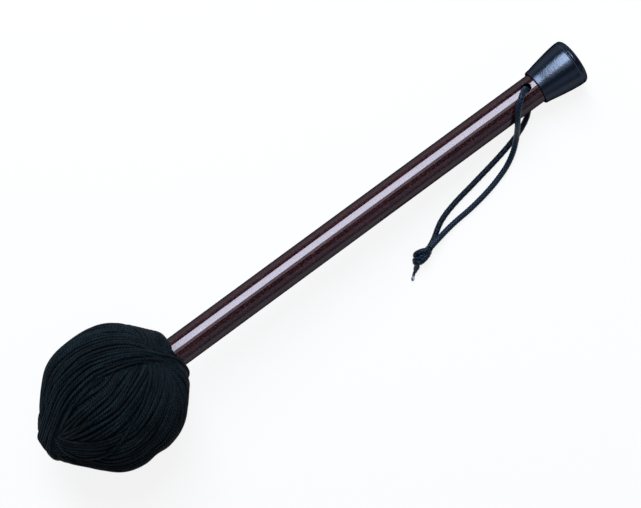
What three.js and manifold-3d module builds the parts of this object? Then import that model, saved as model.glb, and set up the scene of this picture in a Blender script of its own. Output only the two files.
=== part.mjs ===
// Gong mallet: a yarn-wound head on a lacquered dowel, with a rubber tip and a knotted wrist cord.
// Millimetres, +Z up. The mallet is built along X, from the neck of the head (x = 0) to the tip, and
// then laid on the ground as it rests: on the belly of its head and on the foot of its tip.

import * as THREE from 'three';
import { mergeVertices } from 'three/addons/utils/BufferGeometryUtils.js';
import Module from 'manifold-3d';

// Fits
const fitGap = 0.3;
const cutOverrun = 2;

// Dowel
const shaftDiameter = 19.05;
const gripLength = 265.7;
const shaftChamfer = 1;

// Cross hole, drilled beside the tip and turned away from the vertical
const cordHoleDiameter = 6.35;
const cordHoleToTip = 6.4;
const cordHoleTurn = THREE.MathUtils.degToRad(22);

// Rubber tip
const tipLength = 29;
const tipRimDiameter = 22.2;
const tipFootDiameter = 29.6;
const tipFootFillet = 2.8;
const tipFloor = 5.5;
const tipRimRound = 0.5;
const mouldLineSetback = 3.4;
const mouldLineWidth = 0.8;
const mouldLineDepth = 0.25;
const capWasherThickness = 1.5;
const capWasherDiameter = 18.4;

// Head
const neckToBelly = 46.7;
const underBellyRadius = 40.27;
const underNeckReach = 27.68;
const underCrownReach = 35.6;
const underNeckFlatRadius = 6.8;
const underCrownFlatRadius = 8.03;

// Turned core, felt and the fastening on the end of the dowel
const coreDiameter = 42;
const coreLength = 36;
const coreCrownSetback = 21.3;
const coreFillet = 4;
const feltThickness = 6;
const feltFillet = 8;
const washerDiameter = 26;
const washerThickness = 1.6;
const washerHoleDiameter = 5.4;
const screwHeadDiameter = 9.4;
const screwHeadHeight = 3;
const screwShankDiameter = 4.2;
const screwLength = 32;
const screwPoint = 5;

// Yarn
const yarnDiameter = 2.2;
const yarnLayGap = 1.05;
const yarnLevelGap = 0.7;
const yarnLaneGap = 0.6;
const yarnShaftGap = 0.775;
const leastYarnGap = 0.45;

// Wrist cord, with the knot that joins its two legs and the two tails below the knot
const cordDiameter = 3.45;
const cordRunInset = 3.5;
const knotLength = 12;
const knotWidth = 10;
const knotHeight = 8.6;
const longTailLength = 10.3;
const shortTailLength = 6.4;
const tailDiameter = 2.1;
const tailTipDiameter = 1.1;

// Routes of the free cord as it lies, chosen by hand, from the cross hole to the knot
const upperLegPoints = [
  [158.9, 2.4, 23.5], [158.4, 3.1, 26.9], [156.5, 2.7, 30.1], [153.7, 1.1, 32], [150.7, -1.2, 32.2],
  [147.9, -4.1, 30.9], [145.3, -7.1, 28.5], [143.2, -10, 25.2], [141.8, -12.4, 21], [140.5, -14.4, 16.4],
  [138.8, -16.8, 12], [136.4, -19.4, 8.4], [133.2, -22.3, 5.7], [129, -25.2, 3.7], [123.6, -28, 2.4],
  [117.2, -30.3, 1.9], [110.5, -32.2, 1.8], [103, -33.8, 1.8], [95.5, -35, 1.8], [88.5, -35.8, 1.8],
  [81.5, -36.3, 1.9], [75, -37, 2.3], [69.2, -37.9, 3.4], [64.8, -38.7, 4.9], [61, -39.4, 5.7],
  [57.6, -40.1, 5.9],
];
const lowerLegPoints = [
  [158, -2.4, 11.8], [157.8, -3.4, 9.3], [157.5, -4.5, 6.7], [156.7, -6, 4.1], [155.2, -7.9, 2.4],
  [153, -10, 1.8], [149.7, -12.2, 1.8], [143.6, -15.1, 1.8], [137, -17.2, 1.8], [130, -19, 1.8],
  [122.5, -20.6, 1.8], [114.5, -22.1, 1.8], [106.5, -23.5, 1.8], [98.5, -24.9, 1.8], [91, -26.1, 1.8],
  [84, -27.5, 1.8], [77.5, -29.2, 1.8], [72, -31.3, 1.8], [67.5, -33.9, 1.8], [63.8, -36.4, 1.9],
  [60.6, -38.2, 2], [57.7, -39.4, 2.1],
];
const knotMiddle = [51.5, -41.4, 4.4];
const knotTurn = THREE.MathUtils.degToRad(17);
const knotWrapLeans = [18, -16, 12].map(THREE.MathUtils.degToRad);
const longTailStart = [44.9, -43.7, 2.9];
const longTailHeading = [-7.8, -6.3, -1.6];
const shortTailStart = [44.8, -43.1, 5.3];
const shortTailHeading = [-5.2, -3.8, -1.6];

// Shapes of the outlines, as shares of the sizes that they follow
const tipFlareShares = [[0, 0], [0.16, 0.12], [0.47, 0.51], [0.78, 0.84], [1, 1]];
const underFullness = 1.63;
const flatLiftShare = 0.3;
const restFlatShare = 0.1;
const knotWrapShares = [-0.24, 0.02, 0.26];
const tailTaperShare = 0.4;

// Passes of the yarn: four groups of six side by side, each group crossing the ones below at the poles
const groupHeadings = [0, -90, 45, -45].map(THREE.MathUtils.degToRad);
const groupSides = [1, -1, 1, -1];
const passesPerGroup = 6;
const stepsPerLoop = 24;
const yarnSides = 6;
const lanePitch = THREE.MathUtils.degToRad(7.5);
const headingStep = THREE.MathUtils.degToRad(22.5);
const outerRiseLevels = [0, 0, 1, 1];
const innerRiseLevels = [0, 1, 1, 2];
const neckOuterRiseShares = [1.014, 0.915];
const neckInnerRiseShares = [0.767, 0.643];
const crownOuterRiseShares = [0.668, 0.52];
const crownInnerRiseShares = [0.421, 0.2845];
const neckSpreadShares = [0.1, 0.8];
const laneShiftShares = [0.75, 0.975];
const climbShares = [0.95, 1];
const raiseLean = 2.33;

// Fineness of the pieces
const turnedSides = 48;
const innerSides = 32;
const filletSteps = 5;
const profileSteps = 9;
const cordSides = 8;
const cordStepShare = 1.5;

// How closely the yarn's lanes, its heights and the tilt at rest are worked out
const lanePasses = 6;
const halvings = 50;
const settleRounds = 80;
const settleShare = 0.6;
const settleExtraShare = 0.05;
const settledShare = 0.001;
const mostTilt = THREE.MathUtils.degToRad(22.5);

const shaftRadius = shaftDiameter / 2;
const boreRadius = shaftRadius + fitGap;
const yarnRadius = yarnDiameter / 2;
const bellyX = -neckToBelly;
const crownX = bellyX - underCrownReach;
const coreCrownX = bellyX - coreCrownSetback;
const coreNeckX = coreCrownX + coreLength;
const feltRadius = coreDiameter / 2 + fitGap + feltThickness;
const counterboreDepth = washerThickness + screwHeadHeight + 2 * fitGap;
const shaftHeadEndX = coreCrownX + counterboreDepth + fitGap;
const tipEndX = gripLength + tipLength;
const capFloorX = tipEndX - tipFloor;
const shaftTipEndX = capFloorX - capWasherThickness - 2 * fitGap;
const cordHoleX = gripLength - cordHoleToTip;

const wasm = await Module();
wasm.setup();

function toSolid(geometry) {
  const bare = geometry.clone();
  bare.deleteAttribute('normal');
  bare.deleteAttribute('uv');
  const merged = mergeVertices(bare);
  return new wasm.Manifold(new wasm.Mesh({
    numProp: 3,
    vertProperties: merged.attributes.position.array,
    triVerts: new Uint32Array(merged.index.array),
  }));
}

function toGeometry(solid) {
  const mesh = solid.getMesh();
  const geometry = new THREE.BufferGeometry();
  geometry.setAttribute('position', new THREE.BufferAttribute(mesh.vertProperties, 3));
  geometry.setIndex(new THREE.BufferAttribute(mesh.triVerts, 1));
  return geometry;
}

// A profile of [x, radius] points, turned round the X axis with a flat facet at the bottom
function turned(profile, sides) {
  const points = profile.map(([x, radius]) => new THREE.Vector2(radius, x));
  const geometry = new THREE.LatheGeometry(points, sides, Math.PI / sides);
  geometry.rotateZ(-Math.PI / 2);
  return geometry;
}

// A profile that goes round a bore, joined to its own start
function closed(profile) {
  return [...profile, profile[0]];
}

// Points of a quarter round from one angle to another about a centre
function arc(x, radius, size, from, to, steps = filletSteps) {
  const points = [];
  for (let i = 0; i <= steps; i++) {
    const angle = from + (to - from) * i / steps;
    points.push([x + size * Math.cos(angle), radius + size * Math.sin(angle)]);
  }
  return points;
}

// The outside of a bar with rounded ends, from its crown face to its neck face, grown by a gap
function barOutline(crownFace, neckFace, radius, fillet, gap) {
  return [
    ...arc(crownFace + fillet, radius - fillet, fillet + gap, Math.PI, Math.PI / 2),
    ...arc(neckFace - fillet, radius - fillet, fillet + gap, Math.PI / 2, 0),
  ];
}

function smooth(value) {
  return THREE.MathUtils.smoothstep(value, 0, 1);
}

// Radius of the yarn's inner layers at x, or of the surface that lies a lift above them
function underRadius(x, lift) {
  const neckEnd = bellyX + underNeckReach + lift;
  const crownEnd = bellyX - underCrownReach - lift;
  if (x > neckEnd || x < crownEnd) return 0;
  const nearNeck = x > bellyX;
  const reachShare = nearNeck ? (x - bellyX) / (neckEnd - bellyX) : (bellyX - x) / (bellyX - crownEnd);
  const flat = (nearNeck ? underNeckFlatRadius : underCrownFlatRadius) + lift * flatLiftShare;
  return flat + (underBellyRadius + lift - flat) * (1 - reachShare ** underFullness) ** (1 / underFullness);
}

function shaftSolid() {
  const body = toSolid(turned([
    [shaftHeadEndX, 0],
    [shaftHeadEndX, shaftRadius - shaftChamfer],
    [shaftHeadEndX + shaftChamfer, shaftRadius],
    [shaftTipEndX - shaftChamfer, shaftRadius],
    [shaftTipEndX, shaftRadius - shaftChamfer],
    [shaftTipEndX, 0],
  ], turnedSides));
  const crossDrill = new THREE.CylinderGeometry(cordHoleDiameter / 2, cordHoleDiameter / 2,
    shaftDiameter + 2 * cutOverrun, innerSides);
  crossDrill.rotateX(Math.PI / 2 - cordHoleTurn);
  crossDrill.translate(cordHoleX, 0, 0);
  const pilotRadius = screwShankDiameter / 2 + fitGap;
  const pilotEndX = shaftHeadEndX + screwLength;
  const pilot = turned([
    [shaftHeadEndX - cutOverrun, 0],
    [shaftHeadEndX - cutOverrun, pilotRadius],
    [pilotEndX - screwPoint, pilotRadius],
    [pilotEndX, 0],
  ], innerSides);
  return toGeometry(body.subtract(toSolid(crossDrill)).subtract(toSolid(pilot)));
}

function endCapGeometry() {
  const rimRadius = tipRimDiameter / 2;
  const footRadius = tipFootDiameter / 2;
  const filletX = tipEndX - tipFootFillet;
  const lineX = tipEndX - mouldLineSetback;
  const flareLength = lineX - mouldLineWidth - gripLength;
  const flare = new THREE.SplineCurve(tipFlareShares.map(([along, out]) => new THREE.Vector2(
    gripLength + flareLength * along, rimRadius + (footRadius - rimRadius) * out)));
  const side = flare.getPoints(profileSteps).slice(1).map((point) => [point.x, point.y]);
  return turned(closed([
    [capFloorX, 0],
    [capFloorX, boreRadius],
    [gripLength, boreRadius],
    [gripLength, rimRadius - tipRimRound],
    [gripLength + tipRimRound, rimRadius],
    ...side,
    [lineX - mouldLineWidth / 2, footRadius],
    [lineX, footRadius - mouldLineDepth],
    [lineX + mouldLineWidth / 2, footRadius],
    ...arc(filletX, footRadius - tipFootFillet, tipFootFillet, Math.PI / 2, 0),
    [tipEndX, 0],
  ]), turnedSides);
}

function capWasherGeometry() {
  const backX = capFloorX - fitGap;
  return turned([
    [backX - capWasherThickness, 0],
    [backX - capWasherThickness, capWasherDiameter / 2],
    [backX, capWasherDiameter / 2],
    [backX, 0],
  ], innerSides);
}

function headCoreGeometry() {
  const counterboreRadius = washerDiameter / 2 + fitGap;
  const counterboreX = coreCrownX + counterboreDepth;
  return turned(closed([
    ...barOutline(coreCrownX, coreNeckX, coreDiameter / 2, coreFillet, 0),
    [coreNeckX, boreRadius],
    [counterboreX, boreRadius],
    [counterboreX, counterboreRadius],
    [coreCrownX, counterboreRadius],
  ]), innerSides);
}

function feltGeometry() {
  const inside = barOutline(coreCrownX, coreNeckX, coreDiameter / 2, coreFillet, fitGap);
  return turned(closed([
    [coreCrownX, coreDiameter / 2 - coreFillet],
    ...barOutline(coreCrownX, coreNeckX, feltRadius, feltFillet, 0),
    ...inside.reverse(),
  ]), innerSides);
}

function washerGeometry() {
  const seatX = coreCrownX + counterboreDepth - fitGap;
  return turned(closed([
    [seatX - washerThickness, washerHoleDiameter / 2],
    [seatX - washerThickness, washerDiameter / 2],
    [seatX, washerDiameter / 2],
    [seatX, washerHoleDiameter / 2],
  ]), innerSides);
}

function screwGeometry() {
  const headSeatX = coreCrownX + counterboreDepth - fitGap - washerThickness - fitGap;
  const headRadius = screwHeadDiameter / 2;
  const shankRadius = screwShankDiameter / 2;
  const endX = shaftHeadEndX + screwLength - fitGap;
  const dome = [];
  for (let i = 0; i <= filletSteps; i++) {
    const angle = Math.PI / 2 * i / filletSteps;
    dome.push([headSeatX - screwHeadHeight * Math.cos(angle), headRadius * Math.sin(angle)]);
  }
  return turned([
    ...dome,
    [headSeatX, shankRadius],
    [endX - screwPoint, shankRadius],
    [endX, 0],
  ], innerSides);
}

// Inner layers of yarn: closed at the crown, open to the dowel at the neck, hollow over the felt
function underLayersGeometry() {
  const outside = [[crownX, 0]];
  for (let i = 0; i <= profileSteps; i++) {
    const reachShare = Math.sin(Math.PI / 2 * (1 - i / profileSteps));
    const x = bellyX - underCrownReach * reachShare;
    outside.push([x, underRadius(x, 0)]);
  }
  for (let i = 1; i <= profileSteps; i++) {
    const x = bellyX + underNeckReach * Math.sin(Math.PI / 2 * i / profileSteps);
    const radius = underRadius(x, 0);
    if (radius > boreRadius + fitGap) outside.push([x, radius]);
  }
  const neckEnd = bellyX + underNeckReach;
  outside.push([neckEnd, boreRadius]);
  const inside = barOutline(coreCrownX, coreNeckX, feltRadius, feltFillet, fitGap);
  return turned([
    ...outside,
    [coreNeckX + fitGap, boreRadius],
    ...inside.reverse(),
    [coreCrownX - fitGap, 0],
  ], turnedSides);
}

// How far out from the middle a pass of yarn lies, in lanes counted from the middle of its group
function laneOffset(lane, radius, cosTurn) {
  const laneWidth = yarnDiameter + yarnLaneGap;
  const side = Math.sign(lane);
  const lanes = Math.abs(lane);
  const spread = side * Math.max(radius * Math.sin(lanePitch * lanes), laneWidth * lanes);
  const besideShaft = shaftRadius + yarnRadius + yarnShaftGap;
  const halfLane = 1 / 2;
  const besideLane = side * (besideShaft + (lanes - halfLane) * laneWidth);
  const atNeck = lanes < halfLane ? lane / halfLane * besideShaft : besideLane;
  return spread + (atNeck - spread) * progress(cosTurn, neckSpreadShares);
}

// How far the yarn has risen, from 0 to 1, where it comes nearer to a pole than the given radii
function rise(radius, shares) {
  const [start, full] = shares.map((share) => share * underBellyRadius);
  return smooth((start - radius) / (start - full));
}

// How much of a change is done at one part of a loop that begins and ends at the given parts
function progress(part, [start, end]) {
  return smooth((part - start) / (end - start));
}

// A value read from a list at a place that may lie between two of its entries
function between(list, place) {
  const index = Math.floor(place);
  const next = list[Math.min(index + 1, list.length - 1)];
  return list[index] + (next - list[index]) * (place - index);
}

// One point of the yarn's centreline, and the direction in which it can be raised there.
// Turn 0 is over the neck and pi is over the crown.
function layPoint(heading, turn, lane, level) {
  const lift = yarnRadius + yarnLayGap;
  const sinTurn = Math.sin(turn);
  const cosTurn = Math.cos(turn);
  const farthest = 2 * (underBellyRadius + underCrownReach + underNeckReach);
  let offset = 0;
  let reach = underBellyRadius;
  for (let pass = 0; pass < lanePasses; pass++) {
    offset = laneOffset(lane, Math.hypot(reach * sinTurn, offset), cosTurn);
    let low = 0;
    let high = farthest;
    for (let halving = 0; halving < halvings; halving++) {
      reach = (low + high) / 2;
      const radius = Math.hypot(reach * sinTurn, offset);
      if (radius < underRadius(bellyX + reach * cosTurn, lift)) low = reach;
      else high = reach;
    }
  }
  const radius = Math.hypot(reach * sinTurn, offset);
  const nearNeck = cosTurn > 0;
  const outerRise = rise(radius, nearNeck ? neckOuterRiseShares : crownOuterRiseShares);
  const innerRise = rise(radius, nearNeck ? neckInnerRiseShares : crownInnerRiseShares);
  const levels = between(outerRiseLevels, level) * outerRise + between(innerRiseLevels, level) * innerRise;
  const height = (yarnDiameter + yarnLevelGap) * levels;
  const outward = Math.sign(sinTurn) * Math.abs(sinTurn) ** raiseLean;
  const raise = new THREE.Vector3(cosTurn, outward * Math.cos(heading), outward * Math.sin(heading));
  raise.normalize();
  const outwards = reach * sinTurn;
  const point = new THREE.Vector3(
    bellyX + reach * cosTurn,
    outwards * Math.cos(heading) - offset * Math.sin(heading),
    outwards * Math.sin(heading) + offset * Math.cos(heading),
  ).addScaledVector(raise, height);
  return { point, raise };
}

// The route of the one strand: six passes side by side, then a turn round the dowel to the next group
function yarnRoute() {
  const route = [];
  const lastLane = (passesPerGroup + 1) / 2;
  groupHeadings.forEach((heading, group) => {
    const side = groupSides[group];
    const isLast = group === groupHeadings.length - 1;
    for (let pass = 0; pass < passesPerGroup; pass++) {
      const lane = side * (pass + 1 - lastLane);
      for (let step = 0; step < stepsPerLoop; step++) {
        const part = step / stepsPerLoop;
        const shift = progress(part, laneShiftShares);
        const climbs = pass === passesPerGroup - 1 && !isLast;
        const climb = climbs ? progress(part, climbShares) : 0;
        route.push(layPoint(heading, 2 * Math.PI * part, lane + side * shift, group + climb));
      }
    }
    const leave = side * lastLane;
    if (isLast) {
      route.push(layPoint(heading, 2 * Math.PI, leave, group));
      return;
    }
    const swing = groupHeadings[group + 1] - heading;
    const enter = groupSides[group + 1] * (1 - lastLane);
    const swingSteps = Math.max(2, Math.round(Math.abs(swing) / headingStep));
    for (let step = 0; step < swingSteps; step++) {
      const part = step / swingSteps;
      route.push(layPoint(heading + swing * part, 0, leave + (enter - leave) * part, group + 1));
    }
  });
  return route;
}

// Least distance between the segments a-b and c-d, and how far along a-b it lies
function segmentDistance(a, b, c, d) {
  const ux = b.x - a.x;
  const uy = b.y - a.y;
  const uz = b.z - a.z;
  const vx = d.x - c.x;
  const vy = d.y - c.y;
  const vz = d.z - c.z;
  const wx = a.x - c.x;
  const wy = a.y - c.y;
  const wz = a.z - c.z;
  const uu = ux * ux + uy * uy + uz * uz;
  const vv = vx * vx + vy * vy + vz * vz;
  const uv = ux * vx + uy * vy + uz * vz;
  const uw = ux * wx + uy * wy + uz * wz;
  const vw = vx * wx + vy * wy + vz * wz;
  const spread = uu * vv - uv * uv;
  const parallel = spread <= uu * vv * Number.EPSILON;
  let s = parallel ? 1 / 2 : THREE.MathUtils.clamp((uv * vw - uw * vv) / spread, 0, 1);
  let t = (uv * s + vw) / vv;
  if (t < 0 || t > 1) {
    t = THREE.MathUtils.clamp(t, 0, 1);
    s = THREE.MathUtils.clamp((uv * t - uw) / uu, 0, 1);
  }
  return [Math.hypot(wx + ux * s - vx * t, wy + uy * s - vy * t, wz + uz * s - vz * t), s];
}

// Raises each later stretch of yarn until it clears the earlier ones that it crosses
function settleYarn(route) {
  const spacing = yarnDiameter + leastYarnGap;
  const mostLift = yarnRadius / 2;
  let longest = 0;
  for (let i = 1; i < route.length; i++) {
    longest = Math.max(longest, route[i].point.distanceTo(route[i - 1].point));
  }
  const reach = 2 * longest + spacing;
  for (let round = 0; round < settleRounds; round++) {
    let raised = false;
    for (let i = 1; i < route.length; i++) {
      const from = route[i - 1];
      const to = route[i];
      for (let j = 1; j < i - 2; j++) {
        const start = route[j - 1].point;
        const end = route[j].point;
        const away = Math.max(Math.abs(start.x - from.point.x), Math.abs(start.y - from.point.y));
        if (away > reach) continue;
        const [distance, along] = segmentDistance(from.point, to.point, start, end);
        const short = spacing - distance;
        if (short < spacing * settledShare) continue;
        const lift = Math.min(mostLift, short * settleShare + leastYarnGap * settleExtraShare);
        const perPoint = lift / ((1 - along) ** 2 + along ** 2);
        from.point.addScaledVector(from.raise, perPoint * (1 - along));
        to.point.addScaledVector(to.raise, perPoint * along);
        raised = true;
      }
    }
    if (!raised) return;
  }
}

// Least clear distance between two stretches of a tube that aren't neighbours
function leastGap(points, diameter) {
  let least = Infinity;
  for (let i = 1; i < points.length; i++) {
    for (let j = 1; j < i - 2; j++) {
      const [distance] = segmentDistance(points[i - 1], points[i], points[j - 1], points[j]);
      least = Math.min(least, distance - diameter);
    }
  }
  return least;
}

// A tube along points, with each section turned to face its raise direction
function sweptTube(points, raises, radius, sides) {
  const positions = [];
  const index = [];
  points.forEach((point, i) => {
    const before = points[Math.max(i - 1, 0)];
    const after = points[Math.min(i + 1, points.length - 1)];
    const inTangent = point.clone().sub(before).normalize();
    const outTangent = after.clone().sub(point).normalize();
    const tangent = inTangent.add(outTangent).normalize();
    const across = new THREE.Vector3().crossVectors(tangent, raises[i]).normalize();
    const up = new THREE.Vector3().crossVectors(across, tangent);
    for (let side = 0; side < sides; side++) {
      const angle = 2 * Math.PI * (side + 0.5) / sides;
      const corner = point.clone()
        .addScaledVector(across, radius * Math.cos(angle))
        .addScaledVector(up, radius * Math.sin(angle));
      positions.push(corner.x, corner.y, corner.z);
    }
  });
  const rings = points.length;
  for (let ring = 0; ring < rings - 1; ring++) {
    for (let side = 0; side < sides; side++) {
      const a = ring * sides + side;
      const b = ring * sides + (side + 1) % sides;
      index.push(a, a + sides, b, b, a + sides, b + sides);
    }
  }
  for (let side = 1; side < sides - 1; side++) {
    const last = (rings - 1) * sides;
    index.push(0, side, side + 1);
    index.push(last, last + side + 1, last + side);
  }
  const geometry = new THREE.BufferGeometry();
  geometry.setAttribute('position', new THREE.Float32BufferAttribute(positions, 3));
  geometry.setIndex(index);
  return geometry;
}

function yarnWindingGeometry() {
  const route = yarnRoute();
  settleYarn(route);
  const points = route.map((place) => place.point);
  const raises = route.map((place) => place.raise);
  console.log(`yarn winding: least gap to itself ${leastGap(points, yarnDiameter).toFixed(2)} mm`);
  return sweptTube(points, raises, yarnRadius, yarnSides);
}

function addPiece(group, name, geometry, color, roughness, metalness = 0) {
  const material = new THREE.MeshStandardMaterial({ color, roughness, metalness });
  const mesh = new THREE.Mesh(geometry, material);
  mesh.name = name;
  group.add(mesh);
  return mesh;
}

// A cord along hand-chosen points, as a plain tube
function cordLeg(route) {
  const places = route.map((place) => new THREE.Vector3(...place));
  const curve = new THREE.CatmullRomCurve3(places, false, 'centripetal');
  const steps = Math.round(curve.getLength() / (cordStepShare * cordDiameter));
  const section = new THREE.Shape();
  for (let side = 0; side < cordSides; side++) {
    const angle = 2 * Math.PI * side / cordSides;
    const corner = [cordDiameter / 2 * Math.cos(angle), cordDiameter / 2 * Math.sin(angle)];
    if (side === 0) section.moveTo(...corner);
    else section.lineTo(...corner);
  }
  section.closePath();
  return new THREE.ExtrudeGeometry(section, { steps, bevelEnabled: false, extrudePath: curve });
}

// The stretch of cord that lies inside the cross hole
function holeRunGeometry() {
  const run = new THREE.CylinderGeometry(cordDiameter / 2, cordDiameter / 2,
    shaftDiameter - 2 * cordRunInset, cordSides);
  run.rotateX(Math.PI / 2 - cordHoleTurn);
  run.translate(cordHoleX, 0, 0);
  return run;
}

// The overhand knot as a tight lump: a rounded heart with wraps of the cord round it
function knotGeometry() {
  const end = knotLength / 2;
  const wrapRadius = (knotWidth - cordDiameter) / 2;
  const heart = turned([
    [-end, 0],
    ...barOutline(-end, end, wrapRadius, cordDiameter / 2, 0),
    [end, 0],
  ], 2 * cordSides);
  let knot = toSolid(heart);
  knotWrapShares.forEach((share, i) => {
    const wrap = new THREE.TorusGeometry(wrapRadius, cordDiameter / 2, cordSides, 2 * cordSides);
    wrap.rotateY(Math.PI / 2);
    wrap.rotateZ(knotWrapLeans[i]);
    wrap.translate(share * knotLength, 0, 0);
    knot = knot.add(toSolid(wrap));
  });
  const geometry = toGeometry(knot);
  geometry.scale(1, 1, knotHeight / knotWidth);
  return geometry;
}

// A tail of the cord, drawn out thin where its end was melted
function tailGeometry(length) {
  return turned([
    [0, 0],
    [0, tailDiameter / 2],
    [length * tailTaperShare, tailDiameter / 2],
    [length, tailTipDiameter / 2],
    [length, 0],
  ], cordSides);
}

// Height of the lowest point of a piece once the tip end is lowered by a tilt about the Y axis
function lowestPoint(geometry, tilt) {
  const place = geometry.attributes.position;
  let lowest = Infinity;
  for (let i = 0; i < place.count; i++) {
    lowest = Math.min(lowest, place.getZ(i) * Math.cos(tilt) - place.getX(i) * Math.sin(tilt));
  }
  return lowest;
}

// The tilt at which the head, pressed flat by a share of the yarn's diameter, and the tip both touch
function restTilt(winding, tip) {
  let low = 0;
  let high = mostTilt;
  for (let halving = 0; halving < halvings; halving++) {
    const tilt = (low + high) / 2;
    const headIsLower = lowestPoint(winding, tilt) + yarnDiameter * restFlatShare < lowestPoint(tip, tilt);
    if (headIsLower) low = tilt;
    else high = tilt;
  }
  return (low + high) / 2;
}

// Cuts the yarn flat on the ground that the mallet rests on
function pressedFlat(winding, group) {
  const length = gripLength + tipLength + neckToBelly + underCrownReach;
  const ground = new THREE.BoxGeometry(2 * length, 2 * length, length);
  ground.translate(0, 0, -length / 2);
  group.updateMatrix();
  ground.applyMatrix4(group.matrix.clone().invert());
  return toGeometry(toSolid(winding).subtract(toSolid(ground)));
}

const cordColor = 0x19232d;
const mallet = new THREE.Group();
const partGroup = new THREE.Group();
partGroup.add(mallet);

const winding = yarnWindingGeometry();
const tip = endCapGeometry();
mallet.rotation.y = restTilt(winding, tip);
mallet.position.z = -lowestPoint(tip, mallet.rotation.y);

addPiece(mallet, 'yarn_winding', pressedFlat(winding, mallet), 0x10181e, 0.75);
addPiece(mallet, 'yarn_under_layers', underLayersGeometry(), 0x0c1216, 0.85);
addPiece(mallet, 'felt_padding', feltGeometry(), 0x8d8a80, 0.95);
addPiece(mallet, 'head_core', headCoreGeometry(), 0xb08a58, 0.6);
addPiece(mallet, 'retaining_washer', washerGeometry(), 0xb9bbbd, 0.35, 1);
addPiece(mallet, 'retaining_screw', screwGeometry(), 0xa9abad, 0.3, 1);
addPiece(mallet, 'shaft', shaftSolid(), 0x4a1c16, 0.2);
addPiece(mallet, 'end_cap', tip, 0x14181f, 0.5);
addPiece(mallet, 'cap_washer', capWasherGeometry(), 0xb9bbbd, 0.35, 1);
addPiece(mallet, 'wrist_cord_hole_run', holeRunGeometry(), cordColor, 0.6);

// The origin lies on the ground under the middle of the mallet's own box, without its cord
mallet.updateMatrixWorld(true);
const malletMiddle = new THREE.Box3().setFromObject(mallet, true).getCenter(new THREE.Vector3());
mallet.position.x -= malletMiddle.x;
mallet.position.y -= malletMiddle.y;

addPiece(partGroup, 'wrist_cord_upper_leg', cordLeg(upperLegPoints), cordColor, 0.6);
addPiece(partGroup, 'wrist_cord_lower_leg', cordLeg(lowerLegPoints), cordColor, 0.6);
const knot = addPiece(partGroup, 'wrist_cord_knot', knotGeometry(), cordColor, 0.65);
knot.position.set(...knotMiddle);
knot.rotation.z = knotTurn;

function addTail(name, length, start, heading) {
  const tail = addPiece(partGroup, name, tailGeometry(length), cordColor, 0.65);
  const direction = new THREE.Vector3(...heading).normalize();
  tail.position.set(...start);
  tail.quaternion.setFromUnitVectors(new THREE.Vector3(1, 0, 0), direction);
}

addTail('wrist_cord_long_tail', longTailLength, longTailStart, longTailHeading);
addTail('wrist_cord_short_tail', shortTailLength, shortTailStart, shortTailHeading);

export default partGroup;
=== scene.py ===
import math
import bpy
import numpy as np
from mathutils import Euler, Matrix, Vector


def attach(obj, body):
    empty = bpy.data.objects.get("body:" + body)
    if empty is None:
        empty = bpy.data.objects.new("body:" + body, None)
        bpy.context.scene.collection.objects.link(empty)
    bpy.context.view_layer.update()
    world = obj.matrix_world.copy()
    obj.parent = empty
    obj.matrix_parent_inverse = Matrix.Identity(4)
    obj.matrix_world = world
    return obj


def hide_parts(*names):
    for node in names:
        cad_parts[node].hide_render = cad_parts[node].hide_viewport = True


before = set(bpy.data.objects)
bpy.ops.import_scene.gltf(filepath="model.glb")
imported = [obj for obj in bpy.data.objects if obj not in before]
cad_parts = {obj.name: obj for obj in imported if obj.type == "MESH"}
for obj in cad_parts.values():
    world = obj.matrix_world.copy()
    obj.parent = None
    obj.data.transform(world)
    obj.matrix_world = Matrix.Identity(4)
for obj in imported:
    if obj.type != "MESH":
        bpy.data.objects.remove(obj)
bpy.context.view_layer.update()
scene = bpy.context.scene
scene.view_settings.view_transform = "Standard"

# The mallet is built in millimetres along X from the neck of its head, with Z up, and then laid
# down: the tip end hangs lower than the head
lying = dict(neck=(-99.951, 0, 39.151), tilt=4.8018)
millimetre = 0.001


def linear(hexColour):
    # an sRGB hex value as the linear colour that a shader takes
    value = hexColour.lstrip("#")
    parts = [int(value[k:k + 2], 16) / 255 for k in (0, 2, 4)]
    return [p / 12.92 if p <= 0.04045 else ((p + 0.055) / 1.055) ** 2.4 for p in parts] + [1.0]


def setInputs(tree, node, inputs):
    # each input by its name: linked to another node's output, or set to a plain value
    for name, value in inputs.items():
        socket = node.inputs[name]
        if isinstance(value, bpy.types.NodeSocket):
            tree.links.new(value, socket)
        else:
            socket.default_value = value


def addNode(tree, kind, inputs=None, stops=None, **settings):
    # one node, with its settings by name, its inputs, and a ramp's stops as (place, hex colour)
    node = tree.nodes.new(kind)
    for name, value in settings.items():
        setattr(node, name, value)
    setInputs(tree, node, inputs or {})
    if stops:
        elements = node.color_ramp.elements
        elements[-1].position, elements[0].position = stops[-1][0], stops[0][0]
        elements[-1].color, elements[0].color = linear(stops[-1][1]), linear(stops[0][1])
        for at, colour in stops[1:-1]:
            elements.new(at).color = linear(colour)
    return node


def startMaterial(name):
    material = bpy.data.materials.new(name)
    material.use_nodes = True
    tree = material.node_tree
    return material, tree, tree.nodes["Principled BSDF"]


def layDown(points):
    # from the mallet's own millimetres to the frame's metres
    turn = np.array(Euler((0, math.radians(lying["tilt"]), 0)).to_matrix())
    return (np.asarray(points, float) @ turn.T + lying["neck"]) * millimetre


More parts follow.
